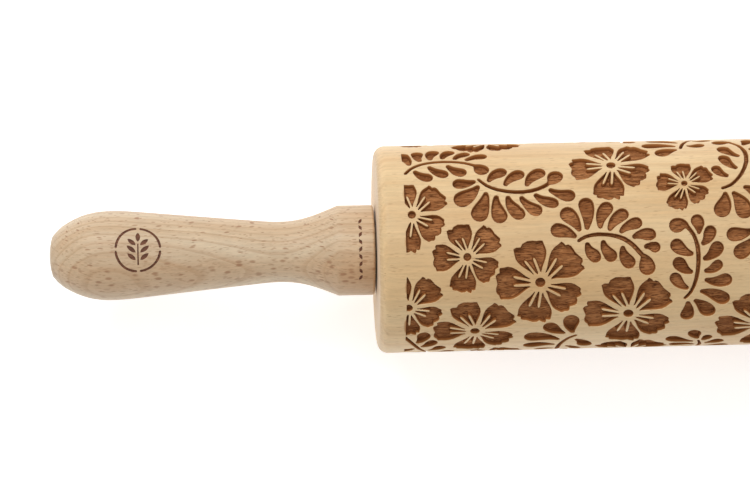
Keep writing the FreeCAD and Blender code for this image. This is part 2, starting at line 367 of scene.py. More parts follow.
def leaf_outline(b, c, r, bend, tip=0.78, n=7, caps=9):
    """Comma-shaped leaflet from its blunt base at b to its round end at c, radius r."""
    dx, dy = c[0] - b[0], c[1] - b[1]
    d = math.hypot(dx, dy)
    b = (b[0] + dx / d * tip * 0.75, b[1] + dy / d * tip * 0.75)
    mx = (b[0] + c[0]) / 2 - dy / d * bend * 2
    my = (b[1] + c[1]) / 2 + dx / d * bend * 2
    one, two = [], []
    for k in range(n + 1):
        q = k / n
        px = (1 - q) ** 2 * b[0] + 2 * q * (1 - q) * mx + q * q * c[0]
        py = (1 - q) ** 2 * b[1] + 2 * q * (1 - q) * my + q * q * c[1]
        tx = 2 * (1 - q) * (mx - b[0]) + 2 * q * (c[0] - mx)
        ty = 2 * (1 - q) * (my - b[1]) + 2 * q * (c[1] - my)
        l = math.hypot(tx, ty)
        w = tip + (r - tip) * math.sin(q * math.pi / 2) ** 1.08
        one.append((px - ty / l * w, py + tx / l * w))
        two.append((px + ty / l * w, py - tx / l * w))
    a0 = math.atan2(c[1] - my, c[0] - mx)
    cap = []
    for k in range(1, caps):
        a = a0 + math.pi / 2 - math.pi * k / caps
        cap.append((c[0] + r * math.cos(a), c[1] + r * math.sin(a)))
    a1 = math.atan2(b[1] - my, b[0] - mx)
    foot = []
    for k in (1, 2, 3):
        a = a1 + math.pi / 2 - math.pi * k / 4
        foot.append((b[0] + tip * math.cos(a), b[1] + tip * math.sin(a)))
    return one + cap + two[::-1] + foot


def stem_outline(path, end, start=0.95, full=1.35, n=2, swell=5, caps=8):
    """Curved stem through the points of path, which swells into its end leaf."""
    leaf, r = end[1], end[2]
    m = len(path)
    pts, half = [], []
    for i in range(m - 1):
        p0, p1, p2, p3 = path[max(i - 1, 0)], path[i], path[i + 1], path[min(i + 2, m - 1)]
        for k in range(n):
            u = k / n
            pts.append(
                tuple(
                    0.5 * (2 * p1[j] + (p2[j] - p0[j]) * u + (2 * p0[j] - 5 * p1[j] + 4 * p2[j] - p3[j]) * u * u + (3 * p1[j] - p0[j] - 3 * p2[j] + p3[j]) * u ** 3)
                    for j in (0, 1)
                )
            )
            half.append((start + (full - start) * min(1.0, 1.6 * (i + u) / (m - 1))) / 2)
    b = path[-1]
    lead = math.hypot(b[0] - path[-2][0], b[1] - path[-2][1])
    reach = math.hypot(leaf[0] - b[0], leaf[1] - b[1])
    # the leaf leaves the stem along the stem's own direction, then turns to its centre
    mx = b[0] + (b[0] - path[-2][0]) / lead * reach * 0.35
    my = b[1] + (b[1] - path[-2][1]) / lead * reach * 0.35
    for k in range(swell + 1):
        q = k / swell
        pts.append(tuple((1 - q) ** 2 * b[j] + 2 * q * (1 - q) * (mx, my)[j] + q * q * leaf[j] for j in (0, 1)))
        half.append(full / 2 + (r - full / 2) * math.sin(q * math.pi / 2) ** 1.3)
    one, two = [], []
    for i, p in enumerate(pts):
        a, c = pts[max(i - 1, 0)], pts[min(i + 1, len(pts) - 1)]
        tx, ty = c[0] - a[0], c[1] - a[1]
        l = math.hypot(tx, ty)
        tx, ty = tx / l, ty / l
        w = half[i]
        one.append((p[0] - ty * w, p[1] + tx * w))
        two.append((p[0] + ty * w, p[1] - tx * w))
        if i == 0:
            head = (p[0] - tx * w * 0.9, p[1] - ty * w * 0.9)
    cap = []
    a0 = math.atan2(ty, tx)
    for k in range(1, caps):
        a = a0 + math.pi / 2 - math.pi * k / caps
        cap.append((leaf[0] + r * math.cos(a), leaf[1] + r * math.sin(a)))
    return one + cap + two[::-1] + [head]


def motif_outlines(kind, x, t, scale, turn, mirrored):
    c, s = math.cos(math.radians(turn)), math.sin(math.radians(turn))
    flip = -1.0 if mirrored else 1.0

    def put(points):
        return [
            (x + scale * (u * c - flip * v * s), t + scale * (u * s + flip * v * c))
            for u, v in points
        ]

    if kind == "flower":
        eye = [(1.5 * math.cos(a * math.pi / 8), 1.5 * math.sin(a * math.pi / 8)) for a in range(16)]
        return [put(petal_outline(*p)) for p in PETALS] + [put(eye)]
    spray = SPRAYS[kind]
    found = []
    for side, row in ((1, spray["outer"]), (-1, spray["inner"])):
        for b, e, r in row:
            d = math.hypot(e[0] - b[0], e[1] - b[1])
            bend = side * 0.085 * d * (1.0 if e[0] - b[0] > -1 else -0.6)
            found.append(put(leaf_outline(b, e, r + 0.1, bend)))
    found.append(put(stem_outline(spray["stem"], spray["end"])))
    return found


def settle(x, t):
    """From the flat layout to the place on the round: the half that was laid out
    first is drawn in a little towards its middle, the far side makes it good."""
    z = max(0.0, 30.0 * math.cos(t / 30.0))
    run = x if x <= 115.0 else 115.0 * max(0.0, (228.0 - x) / 113.0)
    dx = 0.55 - 0.0405 * z - 0.00131 * z * run
    far = abs((t + 94.2478) % 188.4956 - 94.2478)
    if far < 42.0:
        dt = 0.0413 * far - 0.000251 * far * far
    else:
        dt = 1.292 * (1.0 if far < 47.0 else (94.2478 - far) / 47.2478)
    return x + dx, t - math.copysign(dt, (t + 94.2478) % 188.4956 - 94.2478)


def clip_side(points, limit, keep):
    """Parts of a closed outline on one side of x = limit; keep is +1 or -1."""
    inside = [(p[0] - limit) * keep >= 0 for p in points]
    if all(inside):
        return [points]
    if not any(inside):
        return []
    n = len(points)
    start = next(i for i in range(n) if inside[i] and not inside[i - 1])
    runs, run = [], None
    for k in range(n):
        i = (start + k) % n
        p, before = points[i], points[i - 1]
        if inside[i] and not inside[i - 1]:
            f = (limit - before[0]) / (p[0] - before[0])
            run = [(limit, before[1] + f * (p[1] - before[1])), p]
        elif inside[i]:
            run.append(p)
        elif inside[i - 1]:
            f = (limit - before[0]) / (p[0] - before[0])
            run.append((limit, before[1] + f * (p[1] - before[1])))
            runs.append(run)
    # Ends on the line are joined in neighbouring pairs.
    marks = sorted(
        [(r[0][1], i, 0) for i, r in enumerate(runs)] + [(r[-1][1], i, 1) for i, r in enumerate(runs)]
    )
    link = {}
    for a, b in zip(marks[0::2], marks[1::2]):
        link[a[1:]] = b[1:]
        link[b[1:]] = a[1:]
    loops, used = [], set()
    for i in range(len(runs)):
        if i in used:
            continue
        loop, j = [], i
        while j not in used:
            used.add(j)
            loop += runs[j]
            j = link[(j, 1)][0]
        loops.append(loop)
    return loops


def tidy(points, least=0.12):
    """Drop points that lie closer together than least."""
    kept = []
    for p in points:
        if not kept or math.hypot(p[0] - kept[-1][0], p[1] - kept[-1][1]) >= least:
            kept.append(p)
    while len(kept) > 3 and math.hypot(kept[0][0] - kept[-1][0], kept[0][1] - kept[-1][1]) < least:
        kept.pop()
    return kept


def area(points):
    return 0.5 * sum(
        points[i - 1][0] * points[i][1] - points[i][0] * points[i - 1][1] for i in range(len(points))
    )


def pockets(low, high):
    """Every pocket's outline, anticlockwise, cut off at the plain end bands."""
    found = []
    for motif in MOTIFS:
        for outline in motif_outlines(*motif):
            outline = [settle(*p) for p in outline]
            cut = [q for p in clip_side(outline, low, 1) for q in clip_side(p, high, -1)]
            for p in cut:
                p = tidy(p)
                a = area(p) if len(p) > 3 else 0.0
                if abs(a) > 0.5:
                    found.append((p if a > 0 else p[::-1], p is not outline and len(cut) > 0 and (min(q[0] for q in p) < low + 1e-6 or max(q[0] for q in p) > high - 1e-6)))
    return found


# ------------------------------------------------------- engraved turned wood
def outward(loop):
    """Unit normals of an anticlockwise outline, one per point."""
    e = np.roll(loop, -1, 0) - loop
    e /= np.maximum(np.hypot(e[:, 0], e[:, 1]), 1e-9)[:, None]
    n = np.stack([e[:, 1], -e[:, 0]], 1)
    m = n + np.roll(n, 1, 0)
    m /= np.maximum(np.hypot(m[:, 0], m[:, 1]), 0.35)[:, None]
    return m


def room(loop, direction, reach=2.0):
    """How far each point can go along direction before it meets its own outline."""
    a, b = loop, np.roll(loop, -1, 0)
    p = loop + direction * 0.02
    d = direction
    e = b - a
    den = d[:, None, 0] * e[None, :, 1] - d[:, None, 1] * e[None, :, 0]
    w = a[None] - p[:, None]
    with np.errstate(divide="ignore", invalid="ignore"):
        s = (w[..., 0] * e[None, :, 1] - w[..., 1] * e[None, :, 0]) / den
        u = (w[..., 0] * d[:, None, 1] - w[..., 1] * d[:, None, 0]) / den
    ok = (np.abs(den) > 1e-12) & (s > 0) & (u >= -0.001) & (u <= 1.001)
    s = np.where(ok, s, reach)
    k = np.arange(len(loop))
    s[k, k] = reach
    s[k, k - 1] = reach
    return np.minimum(s.min(1), reach)


def eased(v, loop, rounds=6, slope=0.7):
    """Keeps the room from jumping between one point and the next."""
    gap = np.hypot(*(np.roll(loop, -1, 0) - loop).T) * slope
    for _ in range(rounds):
        v = np.minimum(v, np.minimum(np.roll(v, -1) + gap, np.roll(v, 1) + np.roll(gap, 1)))
    return v


def rings_of(loop, steps):
    """Offset copies of an outline: steps are (outward offset, depth)."""
    n = outward(loop)
    inside = eased(room(loop, -n), loop)
    outside = eased(room(loop, n), loop)
    deepest = max(-s for s, _ in steps)
    widest = max(s for s, _ in steps)
    made = []
    for s, depth in steps:
        if s < 0:
            k = np.minimum(1.0, 0.42 * inside / max(deepest, 1e-6))
        else:
            k = np.minimum(1.0, 0.42 * outside / max(widest, 1e-6))
        made.append((loop + n * (s * k)[:, None], depth))
    return made


def keep_apart(loops, gap, period, rounds=10):
    """Draws back every outline that comes closer than gap to another one."""
    loops = [np.array(p, float) for p in loops]
    size = len(loops)
    middle = np.array([(p.min(0) + p.max(0)) / 2 for p in loops])
    reach = np.array([(p.max(0) - p.min(0)) / 2 for p in loops])
    near = []
    for i in range(size):
        d = middle[i] - middle
        lap = np.round(d[:, 1] / period) * period
        d[:, 1] -= lap
        hit = (np.abs(d) < reach + reach[i] + gap).all(1)
        hit[i] = False
        near.append([(j, lap[j]) for j in np.nonzero(hit)[0]])
    for _ in range(rounds):
        moved = 0
        fresh = []
        for i, p in enumerate(loops):
            short = np.zeros(len(p))
            for j, lap in near[i]:
                q = loops[j] + np.array([0.0, lap])
                a, e = q, np.roll(q, -1, 0) - q
                w = p[:, None] - a[None]
                u = np.clip((w * e[None]).sum(2) / np.maximum((e * e).sum(1), 1e-9)[None], 0, 1)
                d = np.hypot(*np.moveaxis(w - u[..., None] * e[None], 2, 0)).min(1)
                short = np.maximum(short, gap - d)
                # edges of this outline that pass close to the other's corners
                b, f = p, np.roll(p, -1, 0) - p
                w = q[:, None] - b[None]
                u = np.clip((w * f[None]).sum(2) / np.maximum((f * f).sum(1), 1e-9)[None], 0, 1)
                d = np.hypot(*np.moveaxis(w - u[..., None] * f[None], 2, 0)).min(0)
                d = gap - d
                short = np.maximum(short, np.maximum(d, np.roll(d, 1)))
            short = np.maximum(short, 0)
            if short.max() > 0.004:
                moved += 1
                short = np.minimum(short, 0.45 * room(p, -outward(p)))
                p = p - outward(p) * (0.55 * short)[:, None]
            fresh.append(p)
        loops = fresh
        if not moved:
            break
    return loops


def thinned(p, least):
    """The outline without points that sit on one another."""
    p = np.array(p, float)
    kept = [p[0]]
    for q in p[1:]:
        if math.dist(q, kept[-1]) > least:
            kept.append(q)
    while len(kept) > 3 and math.dist(kept[-1], kept[0]) <= least:
        kept.pop()
    return np.array(kept)


def inside_of(points, loops):
    """The number of the outline each point lies in, or -1."""
    found = np.full(len(points), -1)
    order = np.argsort(points[:, 0])
    xs = points[order, 0]
    for n, p in enumerate(loops):
        lo, hi = p.min(0), p.max(0)
        k = order[np.searchsorted(xs, lo[0]) : np.searchsorted(xs, hi[0])]
        k = k[(points[k, 1] > lo[1]) & (points[k, 1] < hi[1])]
        if not len(k):
            continue
        a, b = p, np.roll(p, -1, 0)
        q = points[k]
        rise = np.where(a[:, 1] == b[:, 1], 1e-12, b[:, 1] - a[:, 1])
        span = (a[None, :, 1] > q[:, None, 1]) != (b[None, :, 1] > q[:, None, 1])
        cut = q[:, None, 0] < (b[:, 0] - a[:, 0]) * (q[:, None, 1] - a[:, 1]) / rise + a[:, 0]
        found[k[(span & cut).sum(1) % 2 == 1]] = n
    return found


def cdt(points, edges, faces):
    out = delaunay_2d_cdt([Vector((float(p[0]), float(p[1]))) for p in points], edges, faces, 0, 1e-7, True)
    verts, _, tris, ov, _, of = out
    return np.array([(v.x, v.y) for v in verts]), tris, ov, of


class Skin:
    """Collects vertices by key, and faces with one normal per corner."""

    def __init__(self, radius, around, shift):
        self.radius, self.around, self.shift = radius, around, shift
        self.keys, self.co, self.flat = {}, [], []
        self.faces, self.normals = [], []
        self.cut = []  # where each run of engraved faces starts and stops

    def place(self, x, t, depth):
        r = self.radius(x) - depth
        a = t / self.around
        return (x + self.shift, r * math.sin(a), r * math.cos(a))

    def vertex(self, key, x, t, depth):
        if key not in self.keys:
            self.keys[key] = len(self.co)
            self.co.append(self.place(x, t, depth))
        return self.keys[key]

    def surface_normal(self, x, t):
        """Normal of the turned outline, without the engraving."""
        slope = (self.radius(x + 0.05) - self.radius(x - 0.05)) / 0.1
        l = math.hypot(1, slope)
        a = t / self.around
        return (-slope / l, math.sin(a) / l, math.cos(a) / l)

    def face(self, corner_ids, corner_normals):
        if len(set(corner_ids)) < len(corner_ids):
            seen, ids, ns = set(), [], []
            for i, n in zip(corner_ids, corner_normals):
                if i not in seen:
                    seen.add(i)
                    ids.append(i)
                    ns.append(n)
            corner_ids, corner_normals = ids, ns
            if len(ids) < 3:
                return
        self.faces.append(tuple(corner_ids))
        self.normals += [tuple(n) for n in corner_normals]


def engrave(skin, loops, low, high, count, spread, steps, seed, sides=("low", "high")):
    """The skin between x = low and high, with every loop cut into it.
    count is the number of points round it; spread the spacing of the free points;
    sides are the names of its two edges, where the next part of the skin joins on."""
    period = 2 * math.pi * skin.around
    half = period / 2
    rng = np.random.default_rng(seed)
    loops = keep_apart([thinned(p, 0.13) for p in loops], 0.5, period)
    sets = [rings_of(p, steps) for p in loops]

    # --- the untouched surface between the pockets
    pts, keys, edges, faces = [], [], [], []
    extra = 12.0 if period > 100 else period * 0.2
    step = period / count

    def add(x, t, key):
        pts.append((x, t))
        keys.append(key)
        return len(pts) - 1

    n_extra = int(math.ceil((extra + 2) / step))
    for side, x in ((sides[0], low), (sides[1], high)):
        before = None
        for i in range(-n_extra, count + n_extra + 1):
            v = add(x, -half + i * step, (side, i % count))
            if before is not None:
                edges.append((before, v))
            before = v
    occupied = []
    for n, rings in enumerate(sets):
        lip = rings[0][0]
        mid = lip[:, 1].mean()
        base = math.floor((mid + half) / period) * period
        for shift in (-period, 0.0, period):
            t = lip[:, 1] - base + shift
            if t.max() < -half - extra or t.min() > half + extra:
                continue
            ids = [add(lip[i, 0], t[i], ("ring", n, 0, i, sides)) for i in range(len(lip))]
            faces.append(ids)
            occupied.append(np.column_stack([lip[:, 0], t]))
    # free points, on a jittered grid that repeats round the piece
    nx = max(2, int(round((high - low) / (spread * 1.6))))
    nt = max(8, int(round(period / spread)))
    jitter = rng.uniform(-0.28, 0.28, (nx, nt, 2))
    every = np.vstack(occupied) if occupied else np.zeros((0, 2))
    cell = spread * 0.5
    taken = set()
    for p in every:
        taken.add((int(p[0] // cell), int(p[1] // cell)))
    for i in range(1, nx):
        for j in range(-nt // 2, nt + nt // 2):
            jj = j % nt
            x = low + (high - low) * (i + jitter[i % nx, jj, 0]) / nx
            t = -half + (j + 0.5 + jitter[i % nx, jj, 1]) * period / nt
            if abs(t) > half + extra:
                continue
            # the same test on both sides of the join
            tt = (t + half) % period - half
            c = (int(x // cell), int(tt // cell))
            if any((c[0] + a, c[1] + b) in taken for a in (-1, 0, 1) for b in (-1, 0, 1)):
                continue
            add(x, t, ("free", i, jj, sides))
    co, tris, ov, of = cdt(pts, edges, faces)
    tris = np.array(tris)
    mids = co[tris].mean(1)
    keep = (inside_of(mids, occupied) < 0) & (mids[:, 1] >= -half) & (mids[:, 1] < half)
    for tri in tris[keep]:
        ids, ns = [], []
        for v in tri:
            x, t = co[v]
            if ov[v]:
                key = keys[ov[v][0]]
            else:
                key = ("new", round(x, 3), round((t + half) % period, 3))
            ids.append(skin.vertex(key, x, t, 0.0))
            ns.append(skin.surface_normal(x, t))
        skin.face(ids, ns)

    # --- walls and floors
    skin.cut.append(len(skin.faces))
    f_pts, f_keys, f_faces, f_loops = [], [], [], []
    for n, rings in enumerate(sets):
        size = len(rings[0][0])
        grid = []
        for k, (ring, depth) in enumerate(rings):
            row = [skin.vertex(("ring", n, k, i, sides), ring[i, 0], ring[i, 1], depth) for i in range(size)]
            grid.append(row)
        for k in range(len(rings) - 1):
            a, b = grid[k], grid[k + 1]
            pa = np.array([skin.co[i] for i in a])
            pb = np.array([skin.co[i] for i in b])
            along = (np.roll(pa, -1, 0) - np.roll(pa, 1, 0)) + (np.roll(pb, -1, 0) - np.roll(pb, 1, 0))
            across = pb - pa
            nn = np.cross(across, along)
            l = np.linalg.norm(nn, axis=1)
            l[l < 1e-9] = 1
            nn /= l[:, None]
            for i in range(size):
                j = (i + 1) % size
                skin.face([a[i], b[i], b[j], a[j]], [nn[i], nn[i], nn[j], nn[j]])
        ring = rings[-1][0]
        start = len(f_pts)
        for i in range(size):
            f_pts.append((ring[i, 0], ring[i, 1]))
            f_keys.append(("ring", n, len(rings) - 1, i, sides))
        f_faces.append(list(range(start, start + size)))
        f_loops.append(ring)
    bottom = steps[-1][1]
    # free points on the wider floors keep them round
    for n, ring in enumerate(f_loops):
        lo, hi = ring.min(0), ring.max(0)
        if min(hi - lo) < spread * 1.5:
            continue
        a, b = ring, np.roll(ring, -1, 0)
        for x in np.arange(lo[0] + spread / 2, hi[0], spread):
            for t in np.arange(lo[1] + spread / 2, hi[1], spread):
                x2, t2 = x + rng.uniform(-0.2, 0.2), t + rng.uniform(-0.2, 0.2)
                cross = ((a[:, 1] > t2) != (b[:, 1] > t2)) & (
                    x2 < (b[:, 0] - a[:, 0]) * (t2 - a[:, 1]) / np.where(b[:, 1] == a[:, 1], 1e-9, b[:, 1] - a[:, 1]) + a[:, 0]
                )
                if cross.sum() % 2 and np.hypot(ring[:, 0] - x2, ring[:, 1] - t2).min() > spread * 0.45:
                    f_pts.append((x2, t2))
                    f_keys.append(("floor", n, len(f_pts), sides))
    if f_pts:
        co, tris, ov, of = cdt(f_pts, [], f_faces)
        tris = np.array(tris)
        for tri in tris[inside_of(co[tris].mean(1), f_loops) >= 0]:
            ids, ns = [], []
            for v in tri:
                x, t = co[v]
                key = f_keys[ov[v][0]] if ov[v] else ("floor_new", round(x, 3), round(t, 3))
                ids.append(skin.vertex(key, x, t, bottom))
                ns.append(skin.surface_normal(x, t))
            skin.face(ids, ns)
    skin.cut.append(len(skin.faces))


def turn(skin, rows, count):
    """Rings of the turned outline; each row is (key, x, r, slope normal)."""
    period = 2 * math.pi * skin.around
    for (ka, xa, ra, na), (kb, xb, rb, nb) in zip(rows[:-1], rows[1:]):
        for i in range(count):
            j = (i + 1) % count
            quad, ns = [], []
            for key, x, r, n, m in ((ka, xa, ra, na, i), (kb, xb, rb, nb, i), (kb, xb, rb, nb, j), (ka, xa, ra, na, j)):
                a = (-period / 2 + m * period / count) / skin.around
                k = (key, m)
                if r < 1e-6:
                    k = (key, "axis")
                if k not in skin.keys:
                    skin.keys[k] = len(skin.co)
                    skin.co.append((x + skin.shift, r * math.sin(a), r * math.cos(a)))
                quad.append(skin.keys[k])
                ns.append((n[0], n[1] * math.sin(a), n[1] * math.cos(a)))
            skin.face(quad, ns)


def oriented(skin):
    """Close the slits left between walls and floors, and turn every face outward."""
    rough = bpy.data.meshes.new("rough")
    rough.from_pydata([tuple(c) for c in skin.co], [], skin.faces)
    bm = bmesh.new()
    bm.from_mesh(rough)
    bpy.data.meshes.remove(rough)
    rims = [e for e in bm.edges if e.is_boundary]
    if rims:
        for f in bmesh.ops.holes_fill(bm, edges=rims, sides=0)["faces"]:
            ids = [v.index for v in f.verts]
            skin.faces.append(ids)
            for i in ids:
                r = math.hypot(skin.co[i][1], skin.co[i][2]) or 1.0
                skin.normals.append((0.0, skin.co[i][1] / r, skin.co[i][2] / r))
    bmesh.ops.recalc_face_normals(bm, faces=bm.faces)
    wound = {}
    for f in bm.faces:
        ids = [v.index for v in f.verts]
        wound[tuple(sorted(ids))] = ids
    bm.free()
    faces, out, k = [], [], 0
    for f in skin.faces:
        n = skin.normals[k : k + len(f)]
        k += len(f)
        right = wound[tuple(sorted(f))]
        at = right.index(f[0])
        if right[(at + 1) % len(right)] != f[1]:
            f, n = f[::-1], n[::-1]
        faces.append(f)
        out += n
    co = np.array(skin.co)
    sizes = np.array([len(f) for f in faces])
    starts = np.concatenate([[0], np.cumsum(sizes)[:-1]])
    flat = np.concatenate([np.array(f) for f in faces])
    normals = np.array(out)
    p0, p1, p2 = co[flat[starts]], co[flat[starts + 1]], co[flat[starts + 2]]
    p3 = co[flat[starts + sizes - 1]]
    area = np.cross(p1 - p0, p2 - p0) + np.where((sizes > 3)[:, None], np.cross(p2 - p0, p3 - p0), 0.0)
    against = (area * np.add.reduceat(normals, starts)).sum(1) < 0
    normals[np.repeat(against, sizes)] *= -1.0
    skin.faces, skin.normals = faces, [tuple(n) for n in normals.tolist()]


def build(skin, name):
    oriented(skin)
    co = np.array(skin.co) * MM
    me = bpy.data.meshes.new(name)
    me.from_pydata(co.tolist(), [], skin.faces)
    me.update()
    me.normals_split_custom_set(skin.normals)
    ob = bpy.data.objects.new(name, me)
    bpy.context.scene.collection.objects.link(ob)
    return ob


# ------------------------------------------------------------------ the roller
STEPS = [(0.11, 0.0), (0.02, 0.08), (-0.20, 0.85), (-0.30, CUT - 0.15), (-0.48, CUT)]
LONG = 2 * ROLLER_HALF
loops = [p for p, _ in pockets(7.4, LONG - 7.4)]
skin = Skin(lambda x: ROLLER_R, ROLLER_R, -ROLLER_HALF)
ROUND = 180
engrave(skin, loops, 5.5, LONG - 5.5, ROUND, 1.6, STEPS, 11)


def end_rows(side):
    """From the plain band round the eased edge, across the end face, into the bore."""
    e = (lambda x: x) if side == "low" else (lambda x: LONG - x)
    s = -1.0 if side == "low" else 1.0
    rows = [(side, e(5.5), ROLLER_R, (0, 1)), ((side, "band"), e(EDGE), ROLLER_R, (0, 1))]
    for k in range(1, 9):
        a = math.pi / 2 * k / 8
        rows.append(((side, "ease", k), e(EDGE * (1 - math.sin(a))), ROLLER_R - EDGE * (1 - math.cos(a)), (s * math.sin(a), math.cos(a))))
    for k, r in enumerate((24.0, 20.0, 16.0, 12.0, BORE_R + 1.0)):
        rows.append(((side, "face", k), e(0.0), r, (s, 0)))
    d = math.sqrt(0.5)
    rows.append(((side, "lead0"), e(0.0), BORE_R + 1.0, (s * d, -d)))
    rows.append(((side, "lead1"), e(1.0), BORE_R, (s * d, -d)))
    return rows


for side in ("low", "high"):
    rows = end_rows(side)
    turn(skin, rows[:15], ROUND)
    # the bore's mouth has its own crisp edge
    a, b = rows[14], rows[16]
    turn(skin, [(a[0], a[1], a[2], rows[15][3]), b], ROUND)
low, high = end_rows("low")[-1], end_rows("high")[-1]
turn(skin, [(low[0], low[1], low[2], (0, -1)), (high[0], high[1], high[2], (0, -1))], ROUND)
roller = build(skin, "engraved_roller")
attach(roller, "roller")
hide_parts("roller")
print("roller: %d vertices, %d faces" % (len(skin.co), len(skin.faces)))


# ------------------------------------------------------------ the left handle
# (distance from the collar's face, radius), as in the CAD part's sheet
STATIONS = [
    (10.4, 13.05), (13.27, 11.90), (16.14, 10.80), (19.01, 9.86), (21.87, 9.20), (24.74, 8.84), (27.61, 8.75),
    (30.48, 8.88), (36.22, 9.40), (41.95, 9.93), (47.69, 10.48), (53.43, 11.04), (59.17, 11.60), (64.9, 12.15),
    (70.54, 12.68), (73.41, 12.86), (76.28, 12.90), (79.15, 12.74), (82.02, 12.25), (84.89, 11.36), (87.75, 9.99),
    (90.62, 8.07), (92.7, 5.8),
]
COLLAR_R, COLLAR_LONG, COLLAR_EDGE, TIP_R, TIP_AT, SOCKET_DEEP, DOWEL_R = 13.05, 10.4, 0.8, 5.8, 92.7, 42.0, 7.0


def spline(points, fine=900):
    """Natural cubic spline through the points, sampled finely."""
    p = np.array(points, float)
    s = np.concatenate([[0], np.cumsum(np.hypot(*np.diff(p, axis=0).T))])
    h = np.diff(s)
    n = len(s)
    m = np.zeros((n, n))
    rhs = np.zeros((n, 2))
    m[0, 0] = m[-1, -1] = 1
    for i in range(1, n - 1):
        m[i, i - 1], m[i, i], m[i, i + 1] = h[i - 1], 2 * (h[i - 1] + h[i]), h[i]
        rhs[i] = 6 * ((p[i + 1] - p[i]) / h[i] - (p[i] - p[i - 1]) / h[i - 1])
    c = np.linalg.solve(m, rhs)
    u = np.linspace(0, s[-1], fine)
    k = np.clip(np.searchsorted(s, u, "right") - 1, 0, n - 2)
    a, b, hk = (s[k + 1] - u)[:, None], (u - s[k])[:, None], h[k][:, None]
    return (
        c[k] * a**3 / (6 * hk)
        + c[k + 1] * b**3 / (6 * hk)
        + (p[k] / hk - c[k] * hk / 6) * a
        + (p[k + 1] / hk - c[k + 1] * hk / 6) * b
    )


handle_profile = spline(STATIONS)


def handle_radius(x):
    """x runs from the handle's tip to the collar's face."""
    u = HANDLE_LONG - x
    if u <= COLLAR_LONG:
        return COLLAR_R
    return float(np.interp(u, handle_profile[:, 0], handle_profile[:, 1]))


def arc_bar(cx, cy, r, wide, start, stop, n=14):
    """A curved bar with round ends, in degrees."""
    out = []
    for k in range(n + 1):
        a = math.radians(start + (stop - start) * k / n)
        out.append((cx + (r + wide / 2) * math.cos(a), cy + (r + wide / 2) * math.sin(a)))
    a = math.radians(stop)
    out.append((cx + r * math.cos(a) - wide / 2 * math.sin(a), cy + r * math.sin(a) + wide / 2 * math.cos(a)))
    for k in range(n, -1, -1):
        a = math.radians(start + (stop - start) * k / n)
        out.append((cx + (r - wide / 2) * math.cos(a), cy + (r - wide / 2) * math.sin(a)))
    a = math.radians(start)
    out.append((cx + r * math.cos(a) + wide / 2 * math.sin(a), cy + r * math.sin(a) - wide / 2 * math.cos(a)))
    return out


def small_leaf(cx, cy, long, wide, turn_deg, n=7):
    """A pointed oval."""
    c, s = math.cos(math.radians(turn_deg)), math.sin(math.radians(turn_deg))
    out = []
    for sign, ks in ((-1, range(0, n)), (1, range(n, 0, -1))):
        for k in ks:
            w = k / n
            x, y = (w - 0.5) * long, sign * wide / 2 * math.sin(math.pi * w) ** 0.8
            out.append((cx + x * c - y * s, cy + x * s + y * c))
    return out


# A plain ring round a leafy twig, burnt on the grip, and a row of seeds on the collar.
MARK_X, MARK_T = HANDLE_LONG - 67.6, 1.6
mark = [arc_bar(MARK_X, MARK_T, 6.3, 0.62, 90 * k + 6, 90 * k + 84) for k in range(4)]
twig = [(MARK_X - 0.26, MARK_T - 4.5), (MARK_X + 0.26, MARK_T - 4.5), (MARK_X + 0.24, MARK_T - 1.5), (MARK_X + 0.2, MARK_T + 1.6), (MARK_X - 0.2, MARK_T + 1.6), (MARK_X - 0.24, MARK_T - 1.5)]
mark.append(twig)
mark.append(small_leaf(MARK_X, MARK_T + 3.6, 2.8, 1.25, 90))
for k, (up_by, long) in enumerate(((-3.0, 3.0), (-0.9, 3.2), (1.2, 2.9))):
    for side in (-1, 1):
        lean = 90 - side * 52
        cx = MARK_X + side * (0.62 + long / 2 * math.cos(math.radians(38)))
        cy = MARK_T + up_by + long / 2 * math.sin(math.radians(38))
        mark.append(small_leaf(cx, cy, long, 1.15, 90 - side * 52))
GRIP_AROUND = 12.3
seeds = []
SEED_X = HANDLE_LONG - 4.2
for k in range(9):
    t = (k - 4) * 2.15 + 0.3
    seeds.append(small_leaf(SEED_X, t, 2.1, 0.8, 90 + (26 if k % 2 else -26), 5))


def anticlockwise(p):
    a = sum(p[i - 1][0] * p[i][1] - p[i][0] * p[i - 1][1] for i in range(len(p)))
    return p if a > 0 else p[::-1]


SHALLOW = [(0.04, 0.0), (0.0, 0.05), (-0.05, 0.16), (-0.12, 0.2)]
TURNS = 112
skin = Skin(handle_radius, GRIP_AROUND, HANDLE_FACE - HANDLE_LONG)
engrave(skin, [anticlockwise(p) for p in mark], 6.0, HANDLE_LONG - COLLAR_LONG, TURNS, 1.05, SHALLOW, 5, ("tip", "neck"))
# the collar has its own radius to measure round
skin.around = COLLAR_R
engrave(skin, [anticlockwise(p) for p in seeds], HANDLE_LONG - COLLAR_LONG, HANDLE_LONG - COLLAR_EDGE, TURNS, 1.05, SHALLOW, 6, ("neck", "collar"))
rows = [("tip", 6.0, handle_radius(6.0), tuple(skin.surface_normal(6.0, 0.0)[k] for k in (0, 2)))]
for k in range(1, 19):
    x = 6.0 + (HANDLE_LONG - TIP_AT - 6.0) * k / 18
    rows.append((("tip", k), x, handle_radius(x), tuple(skin.surface_normal(min(max(x, 1.0), 5.9), 0.0)[k] for k in (0, 2))))
dome = HANDLE_LONG - TIP_AT
dome_r = (TIP_R**2 + dome**2) / (2 * dome)
for k in range(1, 7):
    r = TIP_R * (1 - k / 6)
    rows.append((("dome", k), dome_r - math.sqrt(dome_r**2 - r**2), r, (-math.sqrt(1 - (r / dome_r) ** 2), r / dome_r)))
turn(skin, rows, TURNS)
rows = [("collar", HANDLE_LONG - COLLAR_EDGE, COLLAR_R, (0, 1))]
for k in range(1, 7):
    a = math.pi / 2 * k / 6
    rows.append((("edge", k), HANDLE_LONG - COLLAR_EDGE * (1 - math.sin(a)), COLLAR_R - COLLAR_EDGE * (1 - math.cos(a)), (math.sin(a), math.cos(a))))
